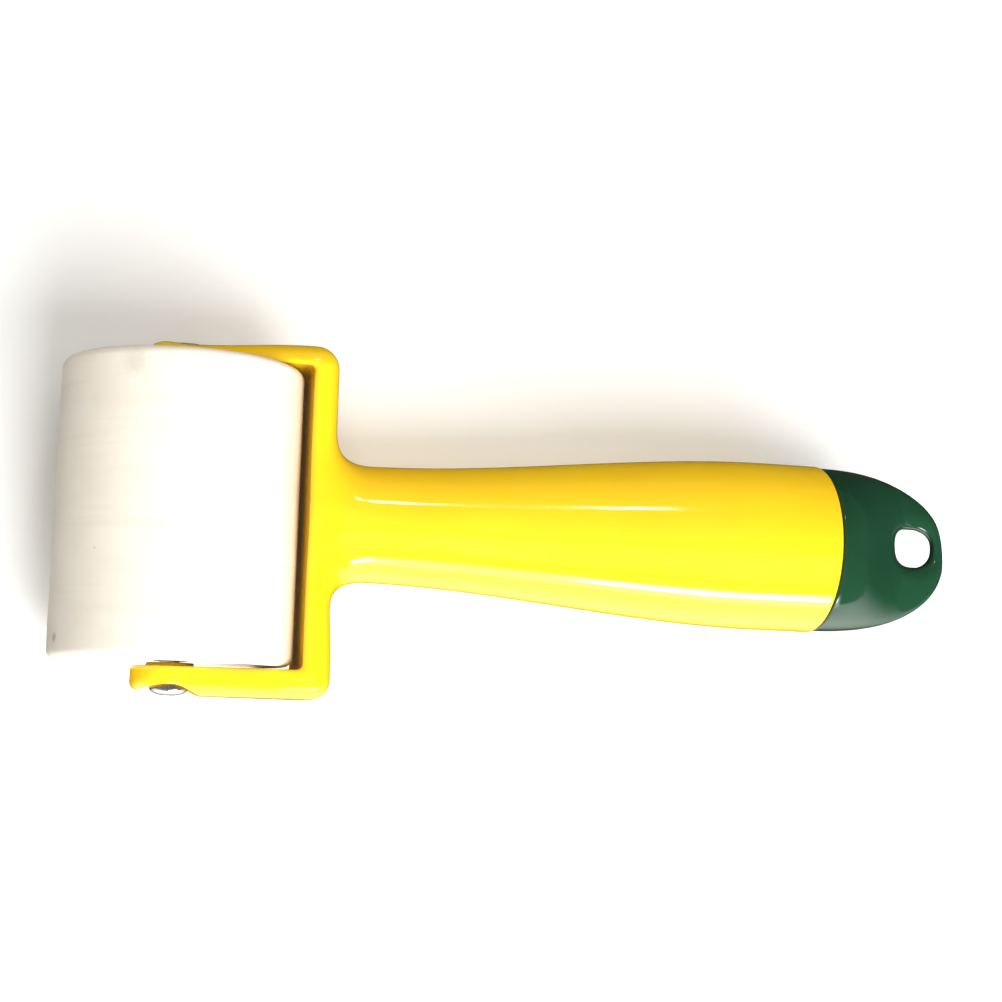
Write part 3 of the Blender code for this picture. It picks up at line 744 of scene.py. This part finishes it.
def plated_steel(name, color, tarnish, roughness, rings):
    """Turned or plated steel: fine rings about the axle, dull blotches, and bright rubbed places."""
    paint = Paint(name, color, roughness, 1.0)
    split = paint.node("ShaderNodeSeparateXYZ", {0: paint.place((1, 1, 1), AXLE)})
    x, z = split.outputs[0], split.outputs[2]
    squares = paint.math("ADD", paint.math("MULTIPLY", x, x), paint.math("MULTIPLY", z, z))
    inputs = {"W": paint.math("SQRT", squares), "Scale": rings, "Detail": 3.0}
    lathe_marks = paint.node("ShaderNodeTexNoise", inputs, noise_dimensions="1D")
    blotch = paint.remap(paint.noise(750.0, 4.0), 0.40, 0.72)
    tint = paint.blend(blotch, color, tarnish)
    rough = paint.remap(paint.noise(1200.0, 3.0), 0.3, 0.7, roughness * 0.7, roughness * 1.5)
    ridge = paint.bump(lathe_marks.outputs["Fac"], 0.000012, 0.6)
    return paint.finish(Base_Color=tint, Roughness=rough, Normal=ridge)


materials = {"white_rubber": rubber()}
for maker, slot, *looks in (
    (moulded_plastic, "yellow_plastic", (0.96, 0.61, 0.014), (0.94, 0.57, 0.012), 0.10, AXLE.z),
    (moulded_plastic, "green_plastic", (0.010, 0.053, 0.024), (0.008, 0.043, 0.019), 0.11, AXLE.z),
    (matte_plastic, "natural_plastic", (0.75, 0.72, 0.62), (0.68, 0.65, 0.54)),
    (matte_plastic, "white_plastic", (0.80, 0.78, 0.73), (0.75, 0.72, 0.66)),
    (plated_steel, "zinc_steel", (0.62, 0.62, 0.60), (0.44, 0.44, 0.43), 0.24, 5200.0),
    (plated_steel, "bearing_steel", (0.72, 0.73, 0.75), (0.60, 0.61, 0.63), 0.14, 7000.0),
):
    materials[slot] = maker(slot, *looks)


# --- putting it together ------------------------------------------------------------------
def fit(piece, node, body, slot):
    """A fine piece stands for a CAD node, rides on its body and takes its material."""
    piece.data.materials.clear()
    piece.data.materials.append(materials[slot])
    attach(piece, body)
    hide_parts(node)


fit(build_handle(), "handle_frame", "handle", "yellow_plastic")
fit(build_cap(), "end_cap", "handle", "green_plastic")
fit(build_sleeve(), "roller_sleeve", "roller", "white_rubber")
fit(build_screw(), "axle_screw", "handle", "zinc_steel")
fit(build_nut(), "axle_nut", "handle", "zinc_steel")
seat = LOWER_OUTER - HEAD_HEIGHT - GAP
flat_washer = washer("flat_washer", 0.0022, 0.0042, seat - 0.0005, seat, -1)
fit(flat_washer, "head_washer", "handle", "zinc_steel")
core = [(CORE_RADIUS, CORE_HALF), (CORE_RADIUS, -CORE_HALF)]
core += [(CORE_BORE, -CORE_HALF), (CORE_BORE, CORE_HALF)]
fit(lathe("roller_tube", core, soft=0.0003), "roller_core", "roller", "natural_plastic")
race_end = BEARING_MIDDLE - BEARING_HALF - GAP
spacer = washer("spacer_tube", HOLE_BORE, THRUST_RADIUS, -race_end, race_end)
fit(spacer, "bearing_spacer", "handle", "zinc_steel")
for label, direction in (("upper", 1), ("lower", -1)):
    fit(build_hub(label, direction), f"roller_hub_{label}", "roller", "white_plastic")
    thrust = (BEARING_MIDDLE + BEARING_HALF + GAP, BOSS_FACE - GAP, direction)
    thrust_ring = washer(f"thrust_ring_{label}", HOLE_BORE, THRUST_RADIUS, *thrust)
    fit(thrust_ring, f"thrust_washer_{label}", "handle", "zinc_steel")
    for made, node_name, body_name in build_bearing(label, direction):
        steel = "zinc_steel" if "shield" in node_name else "bearing_steel"
        fit(made, node_name, body_name, steel)

slot_of = {entry["node"]: entry["material_slot"] for entry in frame["record"]["subparts"]}
for node_name, obj in frame["nodes"].items():
    if not obj.hide_render:
        obj.data.materials.clear()
        obj.data.materials.append(materials[slot_of[node_name]])


# --- floor, lights and camera -------------------------------------------------------------
def build_floor():
    bpy.ops.mesh.primitive_plane_add(size=8.0, location=(0.0, 0.0, -0.0002))
    floor = bpy.context.object
    floor.name = "floor"
    paint = Paint("pale_floor", (0.86, 0.86, 0.855), 0.6)
    tint = paint.blend(paint.noise(6.0, 3.0), (0.86, 0.86, 0.855), (0.84, 0.84, 0.835))
    floor.data.materials.append(paint.finish(Base_Color=tint))
    floor.visible_glossy = False


def build_world():
    """A grey room, dimmer past the tail, and dark under the horizon but for a bright table.

    The table is on the lower arm's side, where the glossy handle mirrors it along its edge.
    """
    world = bpy.data.worlds.new("studio")
    world.use_nodes = True
    tree = world.node_tree
    split = tree.nodes.new("ShaderNodeSeparateXYZ")
    tree.links.new(tree.nodes.new("ShaderNodeTexCoord").outputs["Generated"], split.inputs[0])

    def ramp(value, *limits):
        node = tree.nodes.new("ShaderNodeMapRange")
        node.interpolation_type = "SMOOTHSTEP"
        for i, limit in enumerate(limits):
            if isinstance(limit, bpy.types.NodeSocket):
                tree.links.new(limit, node.inputs[i + 1])
            else:
                node.inputs[i + 1].default_value = limit
        tree.links.new(value, node.inputs[0])
        return node.outputs[0]

    table = ramp(split.outputs[1], -0.85, -0.20, 2.4, 0.03)
    sky = ramp(split.outputs[0], 0.15, 0.55, 0.26, 0.09)
    background = tree.nodes["Background"]
    background.inputs[0].default_value = (1.0, 0.98, 0.95, 1.0)
    tree.links.new(ramp(split.outputs[2], -0.03, 0.03, table, sky), background.inputs[1])
    bpy.context.scene.world = world


WHITE = (1.0, 1.0, 1.0)
ACROSS = (1.0, 0.0, 0.0)


def area_light(name, spot, target, size, power, color=WHITE, glossy=True, along=ACROSS):
    """A rectangular lamp at a spot, turned towards a target.

    Both are given from the roller's centre, and the lamp's first side lies along a direction.
    """
    data = bpy.data.lights.new(name, "AREA")
    data.shape = "RECTANGLE"
    data.size, data.size_y = size
    data.energy = power
    data.color = color
    lamp = bpy.data.objects.new(name, data)
    bpy.context.scene.collection.objects.link(lamp)
    back = (Vector(spot) - Vector(target)).normalized()
    up = back.cross(Vector(along)).normalized()
    turn = Matrix((up.cross(back), up, back)).transposed().to_4x4()
    lamp.matrix_world = Matrix.Translation(AXLE + Vector(spot)) @ turn
    lamp.visible_glossy = glossy


build_floor()
build_world()
MIDDLE = (0.07, 0.0, 0.0)
GRIP = (0.105, 0.0, 0.010)
LAMP_ALONG = (0.44, -0.71, 0.54)
area_light("key", (0.50, -0.77, 1.09), MIDDLE, (0.9, 0.9), 26.0, glossy=False)
area_light("fill", (0.07, 0.20, 1.60), MIDDLE, (1.2, 1.2), 14.0, (1.0, 0.97, 0.92), False)
area_light("low_strip", (0.339, -0.854, 0.180), GRIP, (0.32, 0.125), 2.9)
area_light("low_box", (0.30, -0.90, 0.13), GRIP, (0.60, 0.30), 2.6, (0.86, 1.0, 0.97))
area_light("high_lamp", (0.47, 1.94, 2.26), GRIP, (0.15, 0.24), 3.6, along=LAMP_ALONG)

CAMERA_SPOT = (-0.02303, -0.04093, 0.37871)
CAMERA_TURN = (0.1142, -0.2373, 0.0313)
CAMERA_LENS = 66.8
camera_data = bpy.data.cameras.new("camera")
camera_data.lens = CAMERA_LENS
camera_data.sensor_width = 36.0
camera = bpy.data.objects.new("camera", camera_data)
bpy.context.scene.collection.objects.link(camera)
camera.location = AXLE + Vector(CAMERA_SPOT)
camera.rotation_euler = Euler(CAMERA_TURN, "XYZ")
bpy.context.scene.camera = camera
bpy.context.scene.view_settings.view_transform = "Standard"
